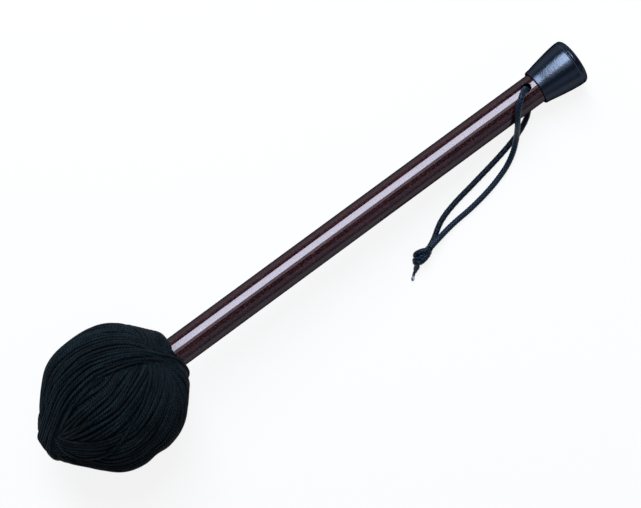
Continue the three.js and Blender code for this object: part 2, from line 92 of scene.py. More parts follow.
def makePiece(name, points, faces, material, uv=None, crest=None):
    # a mesh in the frame's metres, smooth shaded, riding on the one body; crest is how far each point
    # stands out of its surface, from 0 to 1
    mesh = bpy.data.meshes.new(name)
    mesh.from_pydata(np.asarray(points, float).tolist(), [], faces)
    mesh.update()
    mesh.polygons.foreach_set("use_smooth", [True] * len(mesh.polygons))
    if uv is not None:
        layer = mesh.uv_layers.new(name="lay")
        layer.data.foreach_set("uv", np.asarray(uv, float).ravel())
    if crest is not None:
        heights = mesh.attributes.new("crest", "FLOAT", "POINT")
        heights.data.foreach_set("value", np.asarray(crest, float).ravel())
    mesh.materials.append(material)
    piece = bpy.data.objects.new(name, mesh)
    scene.collection.objects.link(piece)
    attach(piece, "root")
    return piece


def tubeFaces(rings, sides, lengths, capped=True):
    # faces of a tube, and its map: once round in u, millimetres along in v
    ring, side = np.meshgrid(np.arange(rings - 1), np.arange(sides), indexing="ij")
    after = (side + 1) % sides
    quads = np.stack([ring * sides + side, ring * sides + after,
                      (ring + 1) * sides + after, (ring + 1) * sides + side], -1).reshape(-1, 4)
    u = np.stack([side, side + 1, side + 1, side], -1).reshape(-1, 4) / sides
    low, high = np.asarray(lengths)[ring], np.asarray(lengths)[ring + 1]
    v = np.stack([low, low, high, high], -1).reshape(-1, 4)
    faces = quads.tolist()
    uv = np.stack([u, v], -1).reshape(-1, 2)
    if capped:
        faces.append(list(range(sides))[::-1])
        faces.append(list(range((rings - 1) * sides, rings * sides)))
        ends = [(0.0, lengths[0])] * sides + [(0.0, lengths[-1])] * sides
        uv = np.concatenate([uv, ends])
    return faces, uv


def throughPoints(points, step, samples=24):
    # an even curve through given points, with so many samples from each point to the next
    p = np.asarray(points, float)
    p = np.concatenate([[2 * p[0] - p[1]], p, [2 * p[-1] - p[-2]]])
    curve = []
    for k in range(1, len(p) - 2):
        a, b, c, d = p[k - 1:k + 3]
        t0, t1 = 0.0, np.linalg.norm(b - a) ** 0.5
        t2 = t1 + np.linalg.norm(c - b) ** 0.5
        t3 = t2 + np.linalg.norm(d - c) ** 0.5
        t = np.linspace(t1, t2, samples, endpoint=False)[:, None]
        ab = (t1 - t) / (t1 - t0) * a + (t - t0) / (t1 - t0) * b
        bc = (t2 - t) / (t2 - t1) * b + (t - t1) / (t2 - t1) * c
        cd = (t3 - t) / (t3 - t2) * c + (t - t2) / (t3 - t2) * d
        abc = (t2 - t) / (t2 - t0) * ab + (t - t0) / (t2 - t0) * bc
        bcd = (t3 - t) / (t3 - t1) * bc + (t - t1) / (t3 - t1) * cd
        curve.append((t2 - t) / (t2 - t1) * abc + (t - t1) / (t2 - t1) * bcd)
    curve.append(p[-2][None])
    curve = np.concatenate(curve)
    run = np.concatenate([[0], np.cumsum(np.linalg.norm(np.diff(curve, axis=0), axis=1))])
    at = np.linspace(0, run[-1], int(round(run[-1] / step)) + 1)
    return np.stack([np.interp(at, run, curve[:, k]) for k in range(3)], 1), at


def carriedFrames(points):
    # two directions square to a path that don't twist along it
    tangents = np.gradient(points, axis=0)
    tangents /= np.linalg.norm(tangents, axis=1)[:, None]
    across = np.cross(tangents[0], (0, 0, 1))
    if np.linalg.norm(across) < 0.2:  # the path starts nearly upright
        across = np.cross(tangents[0], (0, 1, 0))
    firsts = []
    for tangent in tangents:
        across = across - tangent * (across @ tangent)
        across = across / np.linalg.norm(across)
        firsts.append(across)
    firsts = np.array(firsts)
    return firsts, np.cross(tangents, firsts)


def sweepTube(points, lengths, sides, radius):
    # radius is a number, or a function of the turn round the tube and of the length along it
    first, second = carriedFrames(points)
    turn = np.arange(sides) / sides
    size = radius(turn[None, :], np.asarray(lengths)[:, None]) if callable(radius) else radius
    size = np.broadcast_to(size, (len(points), sides))[..., None]
    angle = (2 * math.pi * turn)[None, :, None]
    rim = first[:, None] * np.cos(angle) + second[:, None] * np.sin(angle)
    crest = np.clip((size - size.min()) / max(np.ptp(size), 1e-9), 0, 1)
    return (points[:, None] + rim * size).reshape(-1, 3), crest.ravel()


def turnProfile(profile, steps, ripple=0.0):
    # a body turned round the mallet's own axis: its profile ends on the axis, or is a closed loop;
    # ripple is added to the radius, ring by ring and side by side
    profile = np.asarray(profile, float)
    onAxis = profile[0, 1] == 0
    rings = profile[1:-1] if onAxis else profile
    count = len(rings)
    angle = 2 * math.pi * np.arange(steps) / steps
    out = rings[:, 1:] + ripple
    points = np.stack([np.repeat(rings[:, :1], steps, 1), out * np.sin(angle), out * np.cos(angle)], -1)
    points = points.reshape(-1, 3)
    whole = profile if onAxis else np.concatenate([profile, profile[:1]])
    lengths = np.concatenate([[0], np.cumsum(np.linalg.norm(np.diff(whole, axis=0), axis=1))])
    along = lengths[1:-1] if onAxis else lengths
    faces, uv = tubeFaces(len(along), steps, along, capped=False)
    faces = [[v % (count * steps) for v in face[::-1]] for face in faces]
    uv = uv.reshape(-1, 4, 2)[:, ::-1].reshape(-1, 2)
    if not onAxis:
        return points, faces, uv
    points = np.concatenate([points, [[profile[0, 0], 0, 0], [profile[-1, 0], 0, 0]]])
    firstPole, lastPole, lastRing = count * steps, count * steps + 1, (count - 1) * steps
    ends = []
    for k in range(steps):
        after = (k + 1) % steps
        u, uAfter, uMiddle = k / steps, (k + 1) / steps, (k + 0.5) / steps
        faces.append([k, after, firstPole])
        ends += [(u, lengths[1]), (uAfter, lengths[1]), (uMiddle, 0)]
        faces.append([lastRing + after, lastRing + k, lastPole])
        ends += [(uAfter, lengths[-2]), (u, lengths[-2]), (uMiddle, lengths[-1])]
    return points, faces, np.concatenate([uv, ends])


def roundedBar(low, high, radius, fillet, steps=8):
    # outline of a short bar from its low end to its high end, with so many points on each rounded edge
    quarter = np.radians(np.linspace(0, 90, steps))
    first = [(low + fillet - fillet * math.cos(a), radius - fillet + fillet * math.sin(a)) for a in quarter]
    return first + [(low + high - s, r) for s, r in first[::-1]]


# Camera: it looks straight down on the mallet, as the photograph does
photo = dict(place=(1.75, -3.784, 1439.18), turn=-36.31, lens=133.07, sensor=36)
cameraData = bpy.data.cameras.new("camera")
cameraData.sensor_width = photo["sensor"]
cameraData.sensor_fit = "HORIZONTAL"
cameraData.lens = photo["lens"]
camera = bpy.data.objects.new("camera", cameraData)
camera.location = Vector(photo["place"]) * millimetre
camera.rotation_euler = (0, 0, math.radians(photo["turn"]))
scene.collection.objects.link(camera)
scene.camera = camera
print("camera set")

# Wrist cord: a braided nylon cord through the cross hole, knotted into a loop
cord = dict(
    diameter=3.45,
    strands=6,  # in each direction of the braid
    pitch=12,  # one turn of a strand
    relief=0.36,  # from the top of a strand to the groove beside it
    proud=0.3,  # share of the relief that stands out of the plain round cord
    arch=1.9,  # at 2 the arch of a strand just fills its lane
    weave=0.5,  # rise of a strand where it passes over another, as a share of its arch
    lean=0.3,  # how far a skewed braid lifts the strands of one direction over the other
    sides=48,
    step=0.26,
    upperLeg=[
        (158.9, 2.4, 23.5), (158.4, 3.1, 26.9), (156.5, 2.7, 30.1), (153.7, 1.1, 32), (150.7, -1.2, 32.2),
        (147.9, -4.1, 30.9), (145.3, -7.1, 28.5), (143.2, -10, 25.2), (141.8, -12.4, 21),
        (140.5, -14.4, 16.4), (138.8, -16.8, 12), (136.4, -19.4, 8.4), (133.2, -22.3, 5.7),
        (129, -25.2, 3.7), (123.6, -28, 2.4), (117.2, -30.3, 1.9), (110.5, -32.2, 1.8), (103, -33.8, 1.8),
        (95.5, -35, 1.8), (88.5, -35.8, 1.8), (81.5, -36.3, 1.9), (75, -37, 2.3), (69.2, -37.9, 3.4),
        (64.8, -38.7, 4.9), (61, -39.4, 5.7), (57.6, -40.1, 5.9)],
    lowerLeg=[
        (158, -2.4, 11.8), (157.8, -3.4, 9.3), (157.5, -4.5, 6.7), (156.7, -6, 4.1), (155.2, -7.9, 2.4),
        (153, -10, 1.8), (149.7, -12.2, 1.8), (143.6, -15.1, 1.8), (137, -17.2, 1.8), (130, -19, 1.8),
        (122.5, -20.6, 1.8), (114.5, -22.1, 1.8), (106.5, -23.5, 1.8), (98.5, -24.9, 1.8), (91, -26.1, 1.8),
        (84, -27.5, 1.8), (77.5, -29.2, 1.8), (72, -31.3, 1.8), (67.5, -33.9, 1.8), (63.8, -36.4, 1.9),
        (60.6, -38.2, 2), (57.7, -39.4, 2.1)],
    holeRun=[(158.914, 2.257, 23.197), (157.986, -2.257, 12.063)],
    # groove, middle and top of a strand: the groove colour is painted shade, the top colour painted light
    colours=("#03070c", "#0a1622", "#2a4560"),
)


def nylonBraided():
    # Nylon multifilament yarn, braided: a soft satin gloss that runs along each bundle of filaments. The
    # colour follows the crest: painted shade darkens the grooves where the bundles dive under one another,
    # and the tops of the strands are painted lighter
    material, tree, shader = startMaterial("nylonBraided")
    lay = addNode(tree, "ShaderNodeUVMap", uv_map="lay")
    crest = addNode(tree, "ShaderNodeAttribute", attribute_name="crest")
    # filaments are 0.03 mm and are drawn 0.18 mm wide, so that they still show
    threads = addNode(tree, "ShaderNodeMapping", {"Vector": lay.outputs["UV"], "Scale": (60, 0.8, 1)})
    fine = addNode(tree, "ShaderNodeTexNoise",
                   {"Vector": threads.outputs["Vector"], "Scale": 1.0, "Detail": 2.0})
    # painted shade: the colour darkens with the crest into the grooves between the strands, and lightens on
    # their tops
    both = addNode(tree, "ShaderNodeMath", {0: crest.outputs["Fac"], 1: 1.4, 2: fine.outputs["Fac"]},
                   operation="MULTIPLY_ADD")
    shade = addNode(tree, "ShaderNodeMath", {0: both.outputs["Value"], 1: 0.5}, operation="MULTIPLY")
    colour = addNode(tree, "ShaderNodeValToRGB", {"Fac": shade.outputs["Value"]},
                     stops=list(zip((0.5, 0.82, 1), cord["colours"])))
    bump = addNode(tree, "ShaderNodeBump",
                   {"Height": fine.outputs["Fac"], "Strength": 0.35, "Distance": 0.00008})
    setInputs(tree, shader, {
        "Base Color": colour.outputs["Color"], "Normal": bump.outputs["Normal"],
        "Roughness": 0.42, "IOR": 1.53, "Specular IOR Level": 0.2, "Specular Tint": linear("#c0d4f0"),
        "Sheen Weight": 0.06, "Sheen Roughness": 0.4, "Sheen Tint": linear("#8fa8cc")})
    return material


def braidRadius(radius, skew, relief=cord["relief"]):
    # strands of both directions cross over one another; skew turns the braid towards a plain twist
    count, arch, weave, lean = cord["strands"], cord["arch"], cord["weave"], cord["lean"] * skew

    def height(turn, along):
        right = turn * count + along * count / cord["pitch"] * (1 + skew)
        left = turn * count - along * count / cord["pitch"] * (1 - skew)
        rightAt, leftAt = right - np.floor(right) - 0.5, left - np.floor(left) - 0.5
        over = weave * np.where((np.floor(right) + np.floor(left)) % 2 == 0, 1, -1)
        rightUp = np.sqrt(np.clip(1 - (arch * rightAt) ** 2, 0, 1)) + over * np.cos(math.pi * leftAt)
        leftUp = np.sqrt(np.clip(1 - (arch * leftAt) ** 2, 0, 1)) - over * np.cos(math.pi * rightAt)
        top = np.maximum(rightUp + lean, leftUp - lean)
        return radius + relief * (top / (1 + weave) - 1)

    return height


braided = nylonBraided()


def layCord(name, points, replaced, skew):
    path, lengths = throughPoints(points, cord["step"])
    radius = cord["diameter"] / 2 + cord["relief"] * cord["proud"]
    rim, crest = sweepTube(path, lengths, cord["sides"], braidRadius(radius, skew))
    faces, uv = tubeFaces(len(path), cord["sides"], lengths)
    piece = makePiece(name, rim * millimetre, faces, braided, uv, crest)
    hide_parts(replaced)
    return piece, path * millimetre, lengths[-1] * millimetre


upperLeg, upperPath, upperLength = layCord("cordUpperLeg", cord["upperLeg"], "wrist_cord_upper_leg", 0.0)
lowerLeg, lowerPath, lowerLength = layCord("cordLowerLeg", cord["lowerLeg"], "wrist_cord_lower_leg", 0.5)
holeRun, _, _ = layCord("cordHoleRun", cord["holeRun"], "wrist_cord_hole_run", 0.0)

knot = dict(
    middle=(51.5, -41.4, 4.4),
    thick=3.85,
    relief=0.45,
    skew=0.2,
    # the turns inside, which fill the knot: how far they reach, and how far below its middle they lie
    heart=dict(low=-5.0, high=3.0, radius=3.2, below=0.9, sides=48, rings=45),
    # the turns that show, as the camera sees them: right, up and towards it, from the middle
    turns=[
        [(4.1, 4.6, 1.5), (3.6, 3.5, 0.4), (2.9, 2.1, -0.5), (2.6, 0.8, 0.6), (1.6, -0.7, 1.5),
         (0.4, -2.1, 1.7), (-0.9, -3.3, 1.0), (-2.4, -4.3, 0)],
        [(3.4, 4.5, -1.7), (2.3, 3.5, -0.6), (1.3, 1.7, 1.0), (0.3, 0, 1.2), (-1, -1.2, 0.9),
         (-2.2, -2.8, 0.2)],
        [(2.2, 0.9, -2.2), (3, 1.5, -1.1), (3.1, 2.1, 0.4), (2.5, 2.5, 1.6), (1.1, 2.8, 2.4),
         (-0.9, 2.4, 2.6), (-3, 1.6, 2), (-4.5, 0.5, 0.6), (-4.4, -0.4, -1), (-2.6, -1, -2.2)],
        [(0, -1.6, 0.9), (-2.1, -1.8, 2.2), (-3.9, -2.4, 1.6), (-5, -3, 0), (-4.5, -3.7, -1.5),
         (-2.1, -3.8, -2.3)],
        [(-1.2, -3.3, 0.6), (-3, -3.9, 1.4), (-4.6, -4.2, 0.4), (-4.6, -4.3, -0.9), (-2.8, -4.1, -2)],
    ],
)


def knotPlace(points):
    # from the camera's directions at the knot to the frame's metres
    toFrame = np.array(Euler((0, 0, math.radians(photo["turn"]))).to_matrix())
    return (np.asarray(points, float) @ toFrame.T + knot["middle"]) * millimetre


def tieKnot():
    points, faces, uv, crests = [], [], [], []

    def join(newPoints, newCrest, newFaces, newUv):
        total = sum(len(p) for p in points)
        points.append(newPoints)
        crests.append(newCrest)
        faces.extend([[v + total for v in face] for face in newFaces])
        uv.append(newUv)

    radius = braidRadius(knot["thick"] / 2, knot["skew"], knot["relief"])
    for route in knot["turns"]:
        path, lengths = throughPoints(route, cord["step"])
        rim, crest = sweepTube(path, lengths, cord["sides"], radius)
        join(rim, crest, *tubeFaces(len(path), cord["sides"], lengths))
    heart = knot["heart"]
    reach = np.linspace(heart["low"], heart["high"], heart["rings"])
    share = 2 * (reach - reach.mean()) / np.ptp(reach)
    profile = np.stack([reach, heart["radius"] * np.sqrt(np.clip(1 - share ** 2, 0, 1))], 1)
    body, bodyFaces, bodyUv = turnProfile(profile, heart["sides"])
    # the heart's crest is 0 all over, so it takes the darkest colour of the cord: painted shade inside the
    # knot
    join(body - [0, heart["below"], 0], np.zeros(len(body)), bodyFaces, bodyUv)
    return np.concatenate(points), faces, np.concatenate(uv), np.concatenate(crests)


knotPoints, knotFaces, knotUv, knotCrest = tieKnot()
knotPiece = makePiece("cordKnot", knotPlace(knotPoints), knotFaces, braided, knotUv, knotCrest)
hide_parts("wrist_cord_knot")

tails = dict(
    # start, heading and length, how far its middle bends aside, and its thickness at even steps;
    # darkEnd moves the pale part off the end, so that the short tail stays dark
    longTail=dict(start=(44.9, -43.7, 2.9), heading=(-7.8, -6.3, -1.6), length=10.3, bend=0.5,
                  thick=(3.3, 3.3, 2.9, 2.4, 1.9, 1.7, 2.0, 2.3, 1.6), darkEnd=0),
    shortTail=dict(start=(45.7, -43.6, 4.8), heading=(-4.6, -3.7, -1.4), length=6.0, bend=-0.3,
                   thick=(3.6, 3.5, 3.1, 2.5, 1.7, 0.8), darkEnd=4),
    rooted=1.2,  # how far it starts inside the knot
    plies=2,
    twist=6.4,  # one turn of a ply
    groove=0.66,  # radius in the groove between the plies, as a share
    lobe=0.38,  # and how much more it is on top of a ply
    rounded=(0.96, 0.88, 0.7, 0.4),  # shares of the radius in the last rings
    sides=24,
    step=0.2,
    pale=3.2,  # length of the long tail that is drawn pale: melted by the flame, with a painted highlight on the ply tops
    paleFrom=0.2, paleFull=2.6,  # the stretch of it over which the cord turns pale
    melted=("#1f2c3a", "#a9b9c9"),
)


def nylonMeltedHighlitEnd():
    # Nylon yarn drawn out and sealed in a flame: the last millimetres turn hard and glossy, and are drawn
    # pale on the tops of the plies, partly the melted nylon and partly a painted highlight
    material, tree, shader = startMaterial("nylonMeltedHighlitEnd")
    lay = addNode(tree, "ShaderNodeUVMap", uv_map="lay")
    split = addNode(tree, "ShaderNodeSeparateXYZ", {"Vector": lay.outputs["UV"]})
    crest = addNode(tree, "ShaderNodeAttribute", attribute_name="crest")
    place = addNode(tree, "ShaderNodeTexCoord")
    # scorched blotches are about 0.7 mm wide
    blotch = addNode(tree, "ShaderNodeTexNoise",
                     {"Vector": place.outputs["Object"], "Scale": 1400.0, "Detail": 2.0})
    shift = addNode(tree, "ShaderNodeMath", {0: blotch.outputs["Fac"], 1: 2.0, 2: split.outputs["Y"]},
                    operation="MULTIPLY_ADD")
    start, full = tails["paleFrom"] - tails["pale"], tails["paleFull"] - tails["pale"]
    part = addNode(tree, "ShaderNodeMapRange",
                   {"Value": shift.outputs["Value"], "From Min": start, "From Max": full})
    # painted highlight: the pale colour is laid only on the tops of the plies, together with the paler
    # melted nylon
    meltPaleAndHighlight = addNode(tree, "ShaderNodeMath", {0: part.outputs["Result"], 1: crest.outputs["Fac"]},
                   operation="MULTIPLY")
    dark, light = tails["melted"]
    colour = addNode(tree, "ShaderNodeValToRGB", {"Fac": meltPaleAndHighlight.outputs["Value"]},
                     stops=[(0.0, cord["colours"][1]), (0.3, dark), (0.8, light)])
    rough = addNode(tree, "ShaderNodeMapRange",
                    {"Value": part.outputs["Result"], "To Min": 0.5, "To Max": 0.22})
    setInputs(tree, shader, {
        "Base Color": colour.outputs["Color"], "Roughness": rough.outputs["Result"],
        "IOR": 1.53, "Specular IOR Level": 0.35})
    return material


melted = nylonMeltedHighlitEnd()


def addTail(name, replaced, tail):
    length = tail["length"]
    part = np.linspace(0, 1, int(length / tails["step"]))
    heading = np.array(tail["heading"]) / np.linalg.norm(tail["heading"])
    aside = np.cross(heading, (0, 0, 1))
    path = np.array(tail["start"]) + heading * (length * part - tails["rooted"] * (1 - part))[:, None]
    path = path + aside * (tail["bend"] * np.sin(math.pi * part) * part)[:, None]
    size = np.interp(part, np.linspace(0, 1, len(tail["thick"])), tail["thick"]) / 2
    size[-len(tails["rounded"]):] *= tails["rounded"]

    def rope(turn, along):
        lobe = np.abs(np.cos(math.pi * (turn * tails["plies"] + along * tails["plies"] / tails["twist"])))
        return tails["groove"] + tails["lobe"] * lobe

    rim, _ = sweepTube(path, part * length, tails["sides"],
                       lambda turn, along: size[:, None] * rope(turn, along))
    turn = np.arange(tails["sides"]) / tails["sides"]
    crest = (rope(turn[None], (part * length)[:, None]) - tails["groove"]) / tails["lobe"]
    faces, uv = tubeFaces(len(path), tails["sides"], (part - 1) * length - tail["darkEnd"])
    piece = makePiece(name, rim * millimetre, faces, melted, uv, crest)
    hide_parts(replaced)
    return piece


longTail = addTail("cordLongTail", "wrist_cord_long_tail", tails["longTail"])
shortTail = addTail("cordShortTail", "wrist_cord_short_tail", tails["shortTail"])

print("wrist cord laid:", round(upperLength, 4), round(lowerLength, 4), "m")

# Shaft: a beech dowel, stained red-brown and lacquered
shaft = dict(
    diameter=19.05, chamfer=1, headEnd=-62.5, tipEnd=287.1, boreRadius=9.825, steps=160,
    holeDiameter=6.35, holeAt=259.3, holeTurn=22, drillSteps=64,
    # rings lie close beside the cross hole, so that its edge shades only what is next to it
    besideHole=5.5, holeRings=23, toNextRing=0.5, endsPlain=3, headRings=50, tipRings=8,
)


def beechStainedLacquered():
    # Beech turned to a dowel, stained red-brown and lacquered: fine dark streaks and short orange
    # flecks run along the wood, the lacquer mirrors sharply, and the colour in it deepens to the sides
    material, tree, shader = startMaterial("beechStainedLacquered")
    place = addNode(tree, "ShaderNodeTexCoord")
    level = addNode(tree, "ShaderNodeMapping", {"Vector": place.outputs["Object"],
                                               "Rotation": (0, -math.radians(lying["tilt"]), 0)})
    # growth bands about 1.5 mm wide
    bandMap = addNode(tree, "ShaderNodeMapping",
                      {"Vector": level.outputs["Vector"], "Scale": (14, 650, 650)})
    bands = addNode(tree, "ShaderNodeTexNoise",
                    {"Vector": bandMap.outputs["Vector"], "Scale": 1.0, "Detail": 4.0})
    # rays and pores show as flecks 1.2 mm long and 0.4 mm wide
    fleckMap = addNode(tree, "ShaderNodeMapping",
                       {"Vector": level.outputs["Vector"], "Scale": (850, 2600, 2600)})
    flecks = addNode(tree, "ShaderNodeTexNoise",
                     {"Vector": fleckMap.outputs["Vector"], "Scale": 1.0, "Detail": 2.0})
    stain = addNode(tree, "ShaderNodeValToRGB", {"Fac": bands.outputs["Fac"]},
                    stops=[(0.34, "#180e12"), (0.5, "#2a151a"), (0.66, "#3d1e21")])
    bright = addNode(tree, "ShaderNodeMapRange",
                     {"Value": flecks.outputs["Fac"], "From Min": 0.52, "From Max": 0.72})
    colour = addNode(tree, "ShaderNodeMix", {"Factor": bright.outputs["Result"], "A": stain.outputs["Color"],
                                             "B": linear("#8b554e")}, data_type="RGBA")
    # the coat stands for the colour in the lacquer: it reflects nothing and darkens what comes
    # through it, most at the sides, so the base below it reflects more than plain lacquer does
    setInputs(tree, shader, {
        "Base Color": colour.outputs["Result"], "Roughness": 0.075, "IOR": 1.9, "Coat Weight": 1.0,
        "Coat IOR": 1.0, "Coat Roughness": 0.05, "Coat Tint": linear("#b5b0b6")})
    return material


wood = beechStainedLacquered()


def turnShaft():
    headEnd, tipEnd, hole = shaft["headEnd"], shaft["tipEnd"], shaft["holeAt"]
    radius, chamfer = shaft["diameter"] / 2, shaft["chamfer"]
    near, far = shaft["besideHole"], shaft["besideHole"] + shaft["toNextRing"]
    rings = [np.linspace(headEnd + shaft["endsPlain"], hole - far, shaft["headRings"]),
             np.linspace(hole - near, hole + near, shaft["holeRings"]),
             np.linspace(hole + far, tipEnd - shaft["endsPlain"], shaft["tipRings"])]
    profile = [(headEnd, 0), (headEnd, radius - chamfer), (headEnd + chamfer, radius)]
    profile += [(s, radius) for s in np.concatenate(rings)]
    profile += [(tipEnd - chamfer, radius), (tipEnd, radius - chamfer), (tipEnd, 0)]
    points, faces, uv = turnProfile(profile, shaft["steps"])
    piece = makePiece("shaftDowel", layDown(points), faces, wood, uv)
    # the cross hole is drilled along a line that leans from the vertical
    angle = 2 * math.pi * np.arange(shaft["drillSteps"]) / shaft["drillSteps"]
    lean = math.radians(shaft["holeTurn"])
    bitRadius, up = shaft["holeDiameter"] / 2, np.array([0, math.sin(lean), math.cos(lean)])
    side = np.array([0, math.cos(lean), -math.sin(lean)])
    ring = [hole, 0, 0] + bitRadius * (np.cos(angle)[:, None] * [1, 0, 0] + np.sin(angle)[:, None] * side)
    bit = np.concatenate([ring - up * shaft["diameter"], ring + up * shaft["diameter"]])
    bitFaces, _ = tubeFaces(2, shaft["drillSteps"], [0, 1])
    drill = bpy.data.meshes.new("drill")
    drill.from_pydata(layDown(bit).tolist(), [], bitFaces)
    drill.update()
    cutter = bpy.data.objects.new("drill", drill)
    scene.collection.objects.link(cutter)
    cut = piece.modifiers.new("crossHole", "BOOLEAN")
    cut.operation = "DIFFERENCE"
    cut.solver = "EXACT"
    cut.object = cutter
    bpy.context.view_layer.update()
    drilled = piece.evaluated_get(bpy.context.evaluated_depsgraph_get())
    drilledMesh = bpy.data.meshes.new_from_object(drilled)
    piece.modifiers.clear()
    piece.data = drilledMesh
    bpy.data.objects.remove(cutter)
    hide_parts("shaft")


turnShaft()
print("shaft turned")

# Rubber tip: a moulded furniture tip with a flared foot and a fine mould line
tip = dict(
    # outline of its side: millimetres from the neck of the head, and radius
    outline=[(265.7, 11.1), (268.3, 11.4), (269.5, 11.56), (272, 12.12), (274.4, 12.56), (276.8, 13),
             (279.3, 13.42), (281.7, 13.82), (284.1, 14.2), (286.6, 14.5), (289, 14.74)],
    lip=0.5, foot=294.7, footRadius=14.8, footRound=2.8, boreRadius=9.825, floor=289.2,
    lineAt=290.5, lineWidth=0.7, lineHeight=0.17,
    lineShape=((-1, 0), (-0.5, 0.7), (0, 1), (0.5, 0.7), (1, 0)),  # across it and up, as shares
    lineSunk=0.4,  # share of its height that lies below the side
    lineScuffs=(0.5, 1, 0.5),  # how pale it is across
    steps=144, boreRings=8, lipSteps=6, footSteps=12,
)


def rubberMoulded():
    # Black rubber from a steel mould, dulled by a bluish bloom: satin and finely mottled, with a
    # scuffed, paler line where the halves of the mould met
    material, tree, shader = startMaterial("rubberMoulded")
    place = addNode(tree, "ShaderNodeTexCoord").outputs["Object"]
    # cloudy patches about 6 mm wide, and the mould's grain 0.9 mm wide
    haze = addNode(tree, "ShaderNodeTexNoise", {"Vector": place, "Scale": 160.0, "Detail": 4.0})
    mottle = addNode(tree, "ShaderNodeTexNoise", {"Vector": place, "Scale": 1100.0, "Detail": 3.0})
    plain = addNode(tree, "ShaderNodeValToRGB", {"Fac": haze.outputs["Fac"]},
                    stops=[(0.3, "#08111c"), (0.6, "#0f1d2c"), (0.8, "#16293c")])
    crest = addNode(tree, "ShaderNodeAttribute", attribute_name="crest")
    colour = addNode(tree, "ShaderNodeMix", {"Factor": crest.outputs["Fac"], "A": plain.outputs["Color"],
                                             "B": linear("#566678")}, data_type="RGBA")
    rough = addNode(tree, "ShaderNodeMapRange", {"Value": mottle.outputs["Fac"], "From Min": 0.3,
                                                "From Max": 0.7, "To Min": 0.2, "To Max": 0.29})
    bump = addNode(tree, "ShaderNodeBump",
                   {"Height": mottle.outputs["Fac"], "Strength": 0.35, "Distance": 0.00015})
    # the coat stands for the bloom: as on the shaft, it only darkens what the base reflects
    setInputs(tree, shader, {
        "Base Color": colour.outputs["Result"], "Roughness": rough.outputs["Result"],
        "Normal": bump.outputs["Normal"], "IOR": 1.9, "Specular IOR Level": 0.85,
        "Specular Tint": linear("#cedcef"), "Coat Weight": 1.0, "Coat IOR": 1.0, "Coat Roughness": 0.3,
        "Coat Tint": linear("#a0a5ac")})
    return material


def mouldTip():
    lip, foot, footRadius, footRound = tip["lip"], tip["foot"], tip["footRadius"], tip["footRound"]
    bore, line = tip["boreRadius"], tip["lineShape"]
    rim, rimRadius = tip["outline"][0]
    lipArc = np.radians(np.linspace(0, 90, tip["lipSteps"]))
    profile = [(tip["floor"], 0), (tip["floor"], bore)]
    profile += [(s, bore) for s in np.linspace(tip["floor"] - 1, rim + lip, tip["boreRings"])]
    profile += [(rim + lip - lip * math.sin(a), bore + lip - lip * math.cos(a)) for a in lipArc[1:]]
    profile += [(rim + lip - lip * math.cos(a), rimRadius - lip + lip * math.sin(a)) for a in lipArc]
    profile += tip["outline"][1:]
    lineStart = len(profile)
    profile += [(tip["lineAt"] + tip["lineWidth"] / 2 * across,
                 footRadius + tip["lineHeight"] * (share - tip["lineSunk"])) for across, share in line]
    for a in np.radians(np.linspace(0, 90, tip["footSteps"])):
        profile.append((foot - footRound + footRound * math.sin(a),
                        footRadius - footRound + footRound * math.cos(a)))
    profile.append((foot, 0))
    points, faces, uv = turnProfile(profile, tip["steps"])
    crest = np.zeros(len(points))
    ringCrest = crest[:-2].reshape(-1, tip["steps"])  # all but the two points on the axis
    ringCrest[lineStart:lineStart + len(line) - 2] = np.array(tip["lineScuffs"])[:, None]
    return makePiece("rubberTip", layDown(points), faces, rubberMoulded(), uv, crest)


tipPiece = mouldTip()
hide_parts("end_cap")
print("tip moulded")

# Inside the head: felt over a turned core, held by a washer and a screw
felt = dict(
    low=-68, high=-32, radius=27.3, fillet=8, mouthRadius=19, coreRadius=21, coreFillet=4, coreGap=0.3,
    lumps=0.35, lumpWaves=((7, 3), (3, -1)),  # their depth, and counts round the felt and along it
    lumpsFrom=20, lumpsFull=24,  # radii between which they grow
    steps=96, filletSteps=12, sideRings=14,
)


def woolFeltPressed():
    # Pressed wool felt: grey-white, matt, with fibres matted in all directions
    material, tree, shader = startMaterial("woolFeltPressed")
    place = addNode(tree, "ShaderNodeTexCoord").outputs["Object"]
    # tufts of matted fibres are about 0.7 mm wide
    fibres = addNode(tree, "ShaderNodeTexNoise", {"Vector": place, "Scale": 1500.0, "Detail": 5.0,
                                                 "Roughness": 0.7})
    colour = addNode(tree, "ShaderNodeValToRGB", {"Fac": fibres.outputs["Fac"]},
                     stops=[(0.3, "#77736a"), (0.6, "#96928a"), (0.8, "#a9a59c")])
    bump = addNode(tree, "ShaderNodeBump",
                   {"Height": fibres.outputs["Fac"], "Strength": 0.6, "Distance": 0.0004})
    setInputs(tree, shader, {"Base Color": colour.outputs["Color"], "Normal": bump.outputs["Normal"],
                             "Roughness": 0.95, "Sheen Weight": 0.4})
    return material


def mapleTurned():
    # Maple turned on a lathe and left bare: pale, close-grained, with faint growth bands
    material, tree, shader = startMaterial("mapleTurned")
    place = addNode(tree, "ShaderNodeTexCoord").outputs["Object"]
    # growth bands about 2.5 mm wide
    grainMap = addNode(tree, "ShaderNodeMapping", {"Vector": place, "Scale": (25, 400, 400)})
    grain = addNode(tree, "ShaderNodeTexNoise",
                    {"Vector": grainMap.outputs["Vector"], "Scale": 1.0, "Detail": 4.0})
    colour = addNode(tree, "ShaderNodeValToRGB", {"Fac": grain.outputs["Fac"]},
                     stops=[(0.3, "#a47b4c"), (0.6, "#c29a68"), (0.8, "#cfab7c")])
    bump = addNode(tree, "ShaderNodeBump",
                   {"Height": grain.outputs["Fac"], "Strength": 0.2, "Distance": 0.0002})
    setInputs(tree, shader, {"Base Color": colour.outputs["Color"], "Normal": bump.outputs["Normal"],
                             "Roughness": 0.6})
    return material


